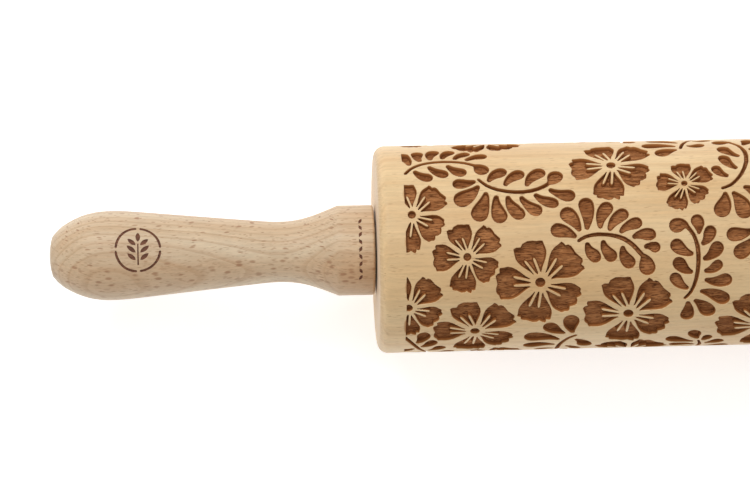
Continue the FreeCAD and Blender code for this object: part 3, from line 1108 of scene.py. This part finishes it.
rows.append((("face", 1), HANDLE_LONG, 10.0, (1, 0)))
rows.append((("face", 2), HANDLE_LONG, DOWEL_R, (1, 0)))
turn(skin, rows, TURNS)
turn(skin, [(("face", 2), HANDLE_LONG, DOWEL_R, (0, -1)), (("socket", 1), HANDLE_LONG - SOCKET_DEEP, DOWEL_R, (0, -1))], TURNS)
turn(skin, [(("socket", 1), HANDLE_LONG - SOCKET_DEEP, DOWEL_R, (1, 0)), (("socket", 2), HANDLE_LONG - SOCKET_DEEP, 0.0, (1, 0))], TURNS)
grip = build(skin, "marked_handle")
grip_cut = [(skin.cut[k], skin.cut[k + 1]) for k in range(0, len(skin.cut), 2)]
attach(grip, "handle_assembly")
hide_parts("handle_left")
print("handle: %d vertices, %d faces" % (len(skin.co), len(skin.faces)))


# ------------------------------------------------------------------ materials
def srgb(r, g, b):
    def f(v):
        v /= 255.0
        return v / 12.92 if v <= 0.04045 else ((v + 0.055) / 1.055) ** 2.4

    return (f(r), f(g), f(b), 1.0)


class Tree:
    """Short names for the nodes used below."""

    def __init__(self, name):
        self.mat = bpy.data.materials.new(name)
        self.mat.use_nodes = True
        self.nt = self.mat.node_tree
        self.nt.nodes.clear()
        self.out = self.nt.nodes.new("ShaderNodeOutputMaterial")
        self.bsdf = self.nt.nodes.new("ShaderNodeBsdfPrincipled")
        self.nt.links.new(self.bsdf.outputs[0], self.out.inputs[0])

    def put(self, socket, value):
        if hasattr(value, "links"):
            self.nt.links.new(value, socket)
        else:
            socket.default_value = value

    def math(self, op, a, b=0.0, c=None, clamp=False):
        n = self.nt.nodes.new("ShaderNodeMath")
        n.operation, n.use_clamp = op, clamp
        self.put(n.inputs[0], a)
        self.put(n.inputs[1], b)
        if c is not None:
            self.put(n.inputs[2], c)
        return n.outputs[0]

    def ramp(self, v, a, b, lo=0.0, hi=1.0, kind="SMOOTHSTEP"):
        n = self.nt.nodes.new("ShaderNodeMapRange")
        n.interpolation_type = kind
        for i, x in enumerate((v, a, b, lo, hi)):
            self.put(n.inputs[i], x)
        return n.outputs[0]

    def combine(self, x, y, z):
        n = self.nt.nodes.new("ShaderNodeCombineXYZ")
        for i, v in enumerate((x, y, z)):
            self.put(n.inputs[i], v)
        return n.outputs[0]

    def noise(self, vector, scale=1.0, detail=2.0, rough=0.5, distort=0.0):
        n = self.nt.nodes.new("ShaderNodeTexNoise")
        self.put(n.inputs["Vector"], vector)
        n.inputs["Scale"].default_value = scale
        n.inputs["Detail"].default_value = detail
        n.inputs["Roughness"].default_value = rough
        n.inputs["Distortion"].default_value = distort
        return n.outputs["Fac"]

    def cells(self, vector, scale=1.0):
        n = self.nt.nodes.new("ShaderNodeTexVoronoi")
        self.put(n.inputs["Vector"], vector)
        n.inputs["Scale"].default_value = scale
        return n.outputs["Distance"], n.outputs["Color"]

    def mix(self, f, a, b, kind="MIX"):
        n = self.nt.nodes.new("ShaderNodeMix")
        n.data_type, n.blend_type = "RGBA", kind
        self.put(n.inputs[0], f)
        self.put(n.inputs[6], a)
        self.put(n.inputs[7], b)
        return n.outputs[2]

    def split(self, v):
        n = self.nt.nodes.new("ShaderNodeSeparateXYZ")
        self.put(n.inputs[0], v)
        return n.outputs

    def coords(self):
        n = self.nt.nodes.new("ShaderNodeTexCoord")
        return n.outputs["Object"], n.outputs["Normal"]


def beech(name, pale, warm, fleck, pith, engraved=False, offset=0.0, fleck_amount=0.5, rays=1.0, big=(4.4, 0.66), small=(2.1, 0.30), lines=0.3, gap=3.1, hair_amount=0.35, lower=0.0):
    """Solid beech, grain along X. pith is where the tree's centre lay, in mm."""
    t = Tree(name)
    where, normal = t.coords()
    x, y, z = t.split(where)
    x = t.math("MULTIPLY_ADD", x, 1000.0, offset)
    y = t.math("MULTIPLY", y, 1000.0)
    z = t.math("MULTIPLY", z, 1000.0)
    py = t.math("SUBTRACT", y, pith[0])
    pz = t.math("SUBTRACT", z, pith[1])
    # a slow wander keeps the rings and rays from running dead straight
    wander = t.noise(t.combine(t.math("DIVIDE", x, 70.0), t.math("DIVIDE", y, 22.0), t.math("DIVIDE", z, 22.0)), 1.0, 2.0)
    wander = t.math("MULTIPLY_ADD", wander, 5.0, -2.5)
    radius = t.math("SQRT", t.math("ADD", t.math("MULTIPLY", py, py), t.math("MULTIPLY", pz, pz)))
    radius = t.math("ADD", radius, wander)
    angle = t.math("ARCTAN2", py, pz)
    arc = t.math("MULTIPLY", angle, math.hypot(*pith))
    arc = t.math("MULTIPLY_ADD", wander, 0.35, arc)

    # growth rings: a pale year with a thin darker close
    year = t.noise(t.combine(0.0, t.math("DIVIDE", radius, 2.6), t.math("DIVIDE", x, 400.0)), 1.0, 3.0, 0.6)
    slow = t.noise(t.combine(t.math("DIVIDE", x, 55.0), t.math("DIVIDE", radius, 9.0), t.math("DIVIDE", arc, 14.0)), 1.0, 2.0)
    tone = t.math("ADD", t.math("MULTIPLY", year, 0.65), t.math("MULTIPLY", slow, 0.6))
    colour = t.mix(t.ramp(tone, 0.42, 0.86), pale, warm)

    # the thin dark line that closes each year
    year_part = t.math("FRACT", t.math("DIVIDE", t.math("MULTIPLY_ADD", year, 1.3, radius), gap))
    close = t.math("MULTIPLY", t.ramp(year_part, 0.62, 0.93), t.ramp(year_part, 0.94, 0.99, 1.0, 0.0))
    colour = t.mix(t.math("MULTIPLY", close, lines), colour, [c * k for c, k in zip(warm[:3], (0.74, 0.62, 0.52))] + [1.0])

    # ray flecks: short dark spindles along the grain, taller where the cut is radial
    spot, chance = t.cells(t.combine(t.math("DIVIDE", x, big[0]), t.math("DIVIDE", arc, big[1]), t.math("DIVIDE", radius, 2.4)))
    pick = t.split(chance)[0]
    dash = t.ramp(spot, 0.16, 0.34, 1.0, 0.0)
    dash = t.math("MULTIPLY", dash, t.ramp(pick, 0.35, 0.9))
    tiny, chance2 = t.cells(t.combine(t.math("DIVIDE", x, small[0]), t.math("DIVIDE", arc, small[1]), t.math("DIVIDE", radius, 1.3)))
    pick2 = t.split(chance2)[1]
    dots = t.math("MULTIPLY", t.ramp(tiny, 0.16, 0.36, 1.0, 0.0), t.ramp(pick2, 0.35, 0.95))
    crowd = t.noise(t.combine(t.math("DIVIDE", x, 34.0), t.math("DIVIDE", y, 9.0), t.math("DIVIDE", z, 9.0)), 1.0, 2.0)
    crowd = t.ramp(crowd, 0.32, 0.58, 0.25, 1.0)
    marks = t.math("MAXIMUM", t.math("MULTIPLY", dash, crowd), t.math("MULTIPLY", dots, 0.75))
    marks = t.math("MULTIPLY", marks, rays)
    if lower:
        # one side of the grip is cut where the rays stand thick and red
        side = t.ramp(t.math("ARCTAN2", y, z), -1.15, -0.75, 0.0, 1.0)
        side = t.math("MULTIPLY", side, t.ramp(t.math("ARCTAN2", y, z), -0.35, -0.05, 1.0, 0.0))
        blob, chance4 = t.cells(t.combine(t.math("DIVIDE", x, 3.3), t.math("DIVIDE", arc, 1.25), t.math("DIVIDE", radius, 2.2)))
        blobs = t.math("MULTIPLY", t.ramp(blob, 0.16, 0.40, 1.0, 0.0), t.ramp(t.split(chance4)[0], 0.15, 0.6))
        blobs = t.math("MULTIPLY", t.math("MULTIPLY", blobs, side), lower)
        colour = t.mix(t.math("MULTIPLY", side, 0.22), colour, srgb(214, 166, 120))
        colour = t.mix(t.math("MULTIPLY", blobs, 0.62), colour, srgb(150, 92, 54))
    colour = t.mix(t.math("MULTIPLY", marks, fleck_amount), colour, fleck)

    # hair-thin dark dashes, the cut ends of the vessels
    hair, chance3 = t.cells(t.combine(t.math("DIVIDE", x, 3.2), t.math("DIVIDE", arc, 0.27), t.math("DIVIDE", radius, 0.7)))
    hairs = t.math("MULTIPLY", t.ramp(hair, 0.10, 0.34, 1.0, 0.0), t.ramp(t.split(chance3)[2], 0.45, 0.95))
    colour = t.mix(t.math("MULTIPLY", hairs, hair_amount), colour, fleck)

    # fine pores
    pores = t.noise(t.combine(t.math("DIVIDE", x, 1.9), t.math("DIVIDE", arc, 0.20), t.math("DIVIDE", radius, 0.26)), 1.0, 2.0, 0.6)
    fibre = t.noise(t.combine(t.math("DIVIDE", x, 14.0), t.math("DIVIDE", arc, 0.55), t.math("DIVIDE", radius, 0.7)), 1.0, 2.0, 0.55)
    shade = t.math("ADD", t.math("MULTIPLY", pores, 0.16), t.math("MULTIPLY", fibre, 0.34))
    shade = t.math("ADD", shade, 0.755)
    colour = t.mix(1.0, colour, t.combine(shade, shade, shade), "MULTIPLY")

    # end grain: closer, greyer and crossed by rays from the pith
    nx = t.split(normal)[0]
    ends = t.ramp(t.math("ABSOLUTE", nx), 0.55, 0.92)
    lines = t.noise(t.combine(t.math("DIVIDE", arc, 0.34), t.math("DIVIDE", radius, 7.0), 3.0), 1.0, 2.0, 0.6)
    closed = t.noise(t.combine(t.math("DIVIDE", radius, 0.9), t.math("DIVIDE", arc, 30.0), 7.0), 1.0, 3.0, 0.6)
    across = t.mix(t.ramp(t.math("ADD", t.math("MULTIPLY", lines, 0.5), t.math("MULTIPLY", closed, 0.5)), 0.35, 0.68), [c * 0.80 for c in warm[:3]] + [1.0], [c * 0.93 for c in pale[:3]] + [1.0])
    colour = t.mix(t.math("MULTIPLY", ends, 0.8), colour, across)

    height = t.math("ADD", t.math("MULTIPLY", pores, 0.5), t.math("MULTIPLY", fibre, 0.35))
    height = t.math("SUBTRACT", height, t.math("MULTIPLY", marks, 0.25))
    rough = t.math("MULTIPLY_ADD", pores, 0.16, 0.44)

    if engraved:
        around = t.math("SQRT", t.math("ADD", t.math("MULTIPLY", y, y), t.math("MULTIPLY", z, z)))
        depth = t.math("SUBTRACT", ROLLER_R, around)
        inside = t.ramp(t.math("ABSOLUTE", t.math("SUBTRACT", x, offset)), ROLLER_HALF - 6.5, ROLLER_HALF - 7.5)
        burnt = t.math("MULTIPLY", t.ramp(depth, 0.085, 0.20), inside)
        floor = t.ramp(depth, CUT - 0.35, CUT - 0.08)
        # the cutter's burn follows the grain: short dark dashes over a mottled brown
        streak = t.noise(t.combine(t.math("DIVIDE", x, 1.9), t.math("DIVIDE", y, 0.20), t.math("DIVIDE", z, 0.20)), 1.0, 2.0, 0.6)
        long_streak = t.noise(t.combine(t.math("DIVIDE", x, 9.0), t.math("DIVIDE", y, 0.55), t.math("DIVIDE", z, 0.55)), 1.0, 2.0, 0.55)
        patch = t.noise(t.combine(t.math("DIVIDE", x, 8.0), t.math("DIVIDE", y, 3.0), t.math("DIVIDE", z, 3.0)), 1.0, 2.0)
        heat = t.math("ADD", t.math("MULTIPLY", long_streak, 0.6), t.math("MULTIPLY", patch, 0.55))
        brown = t.mix(t.ramp(heat, 0.40, 0.76), BURN_DARK, BURN_PALE)
        brown = t.mix(t.ramp(streak, 0.47, 0.64, 0.0, 0.85), brown, BURN_DEEP)
        # the walls run from WALL_PALE at the lip to a dark streaky brown at the bottom: burnt wood, with painted shade
        # that deepens down the pocket
        wall_burn_and_shade = t.mix(t.ramp(depth, 0.15, 1.2), WALL_PALE, t.mix(streak, srgb(104, 60, 29), BURN_DARK))
        colour = t.mix(burnt, colour, t.mix(floor, wall_burn_and_shade, brown))
        height = t.math("ADD", height, t.math("MULTIPLY", t.math("MULTIPLY", streak, burnt), 1.6))
        rough = t.math("MULTIPLY_ADD", burnt, 0.18, rough)

    bump = t.nt.nodes.new("ShaderNodeBump")
    bump.inputs["Strength"].default_value = 0.55
    bump.inputs["Distance"].default_value = 0.00009
    t.put(bump.inputs["Height"], height)
    t.put(t.bsdf.inputs["Base Color"], colour)
    t.put(t.bsdf.inputs["Roughness"], rough)
    t.put(t.bsdf.inputs["Normal"], bump.outputs[0])
    if engraved:
        # charred wood is dull
        clean = t.math("SUBTRACT", 1.0, burnt)
        t.put(t.bsdf.inputs["Specular IOR Level"], t.math("MULTIPLY_ADD", clean, 0.46, 0.04))
        t.put(t.bsdf.inputs["Sheen Weight"], t.math("MULTIPLY", clean, 0.22))
    else:
        t.bsdf.inputs["Specular IOR Level"].default_value = 0.5
        t.bsdf.inputs["Sheen Weight"].default_value = 0.18
    t.bsdf.inputs["Sheen Roughness"].default_value = 0.35
    return t.mat


BURN_PALE = srgb(192, 132, 84)
BURN_DARK = srgb(140, 86, 48)
BURN_DEEP = srgb(78, 42, 22)
WALL_PALE = srgb(172, 112, 62)

roller_wood = beech("engraved_beech", srgb(234, 203, 155), srgb(221, 180, 127), srgb(160, 108, 64), (14.0, -58.0), engraved=True, fleck_amount=0.20, rays=0.7, big=(2.6, 0.24), small=(1.8, 0.18), lines=0.14, gap=3.6, hair_amount=0.62)
handle_wood = beech("handle_beech", srgb(224, 203, 172), srgb(206, 174, 138), srgb(152, 98, 60), (27.0, -34.0), offset=40.0, fleck_amount=0.78, big=(3.3, 0.46), small=(1.8, 0.24), lines=0.36, gap=1.9, hair_amount=0.6, lower=0.95)
dowel_wood = beech("dowel_beech", srgb(226, 198, 158), srgb(208, 172, 130), srgb(160, 108, 70), (30.0, 25.0), offset=90.0)


def dress(ob, mat):
    ob.data.materials.clear()
    ob.data.materials.append(mat)
    for p in ob.data.polygons:
        p.material_index = 0


mark_wood = Tree("burnt_mark")
where, _ = mark_wood.coords()
x, y, z = mark_wood.split(where)
char = mark_wood.noise(mark_wood.combine(mark_wood.math("MULTIPLY", x, 350.0), mark_wood.math("MULTIPLY", y, 2200.0), mark_wood.math("MULTIPLY", z, 2200.0)), 1.0, 3.0, 0.6)
mark_wood.put(mark_wood.bsdf.inputs["Base Color"], mark_wood.mix(mark_wood.ramp(char, 0.3, 0.7), srgb(84, 48, 32), srgb(132, 84, 58)))
mark_wood.bsdf.inputs["Roughness"].default_value = 0.75

dress(roller, roller_wood)
dress(grip, handle_wood)
grip.data.materials.append(mark_wood.mat)
for start, stop in grip_cut:
    for k in range(start, stop):
        grip.data.polygons[k].material_index = 1
for name, mat in ( ("handle_right", handle_wood), ("axle_dowel", dowel_wood)):
    dress(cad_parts[name], mat)


# ------------------------------------------------------- floor, light, camera
def area_light(name, place, aim, wide, tall, power, colour=(1, 1, 1)):
    data = bpy.data.lights.new(name, "AREA")
    data.shape, data.size, data.size_y = "RECTANGLE", wide, tall
    data.energy, data.color = power, colour
    ob = bpy.data.objects.new(name, data)
    bpy.context.scene.collection.objects.link(ob)
    ob.location = place
    ob.rotation_mode = "QUATERNION"
    ob.rotation_quaternion = (Vector(aim) - Vector(place)).to_track_quat("-Z", "Y")
    return ob


me = bpy.data.meshes.new("floor")
s, zf = 6.0, -ROLLER_R * MM - 0.0002
me.from_pydata([(-s, -s, zf), (s, -s, zf), (s, s, zf), (-s, s, zf)], [], [(0, 1, 2, 3)])
floor = bpy.data.objects.new("floor", me)
bpy.context.scene.collection.objects.link(floor)
t = Tree("pale_floor")
t.bsdf.inputs["Base Color"].default_value = (0.86, 0.86, 0.86, 1)
t.bsdf.inputs["Roughness"].default_value = 0.9
t.bsdf.inputs["Specular IOR Level"].default_value = 0.0
t.bsdf.inputs["Emission Color"].default_value = (1, 1, 1, 1)
t.bsdf.inputs["Emission Strength"].default_value = FLOOR_GLOW
floor.data.materials.append(t.mat)

world = bpy.data.worlds.new("studio")
bpy.context.scene.world = world
world.use_nodes = True
bg = world.node_tree.nodes["Background"]
bg.inputs[0].default_value = (1.0, 1.0, 1.0, 1)
bg.inputs[1].default_value = WORLD

area_light("key", (-0.55, 0.95, 1.15), (-0.05, 0, 0), 0.7, 0.55, KEY, (1.0, 0.995, 0.985))
area_light("fill", (0.1, 0.2, 1.8), (0, 0, 0), 1.2, 1.2, FILL, (1.0, 0.985, 0.965))

cam_data = bpy.data.cameras.new("camera")
camera = bpy.data.objects.new("camera", cam_data)
bpy.context.scene.collection.objects.link(camera)
bpy.context.scene.camera = camera
cam_data.sensor_width = 36.0
DISTANCE, YAW, ROLL = 0.750, 2.4, CAM_ROLL
cam_data.lens = 3.445 * 750.0 / 750.0 * 36.0
cam_data.clip_start, cam_data.clip_end = 0.01, 50.0
aim = Vector((-ROLLER_HALF * MM - 0.0001, CAM_Y, 0.0))
y = math.radians(YAW)
back = Vector((-math.sin(y), 0.0, math.cos(y)))
camera.location = aim + back * DISTANCE
right = Vector((math.cos(y), 0.0, math.sin(y)))
up = Vector((0.0, 1.0, 0.0))
r = math.radians(ROLL)
right, up = right * math.cos(r) + up * math.sin(r), up * math.cos(r) - right * math.sin(r)
camera.matrix_world = Matrix(
    ((right.x, up.x, back.x, camera.location.x), (right.y, up.y, back.y, camera.location.y), (right.z, up.z, back.z, camera.location.z), (0, 0, 0, 1))
)
scene = bpy.context.scene
scene.view_settings.view_transform = "Standard"
scene.view_settings.look = "None"
scene.view_settings.exposure = 0.0
scene.view_settings.gamma = 1.0
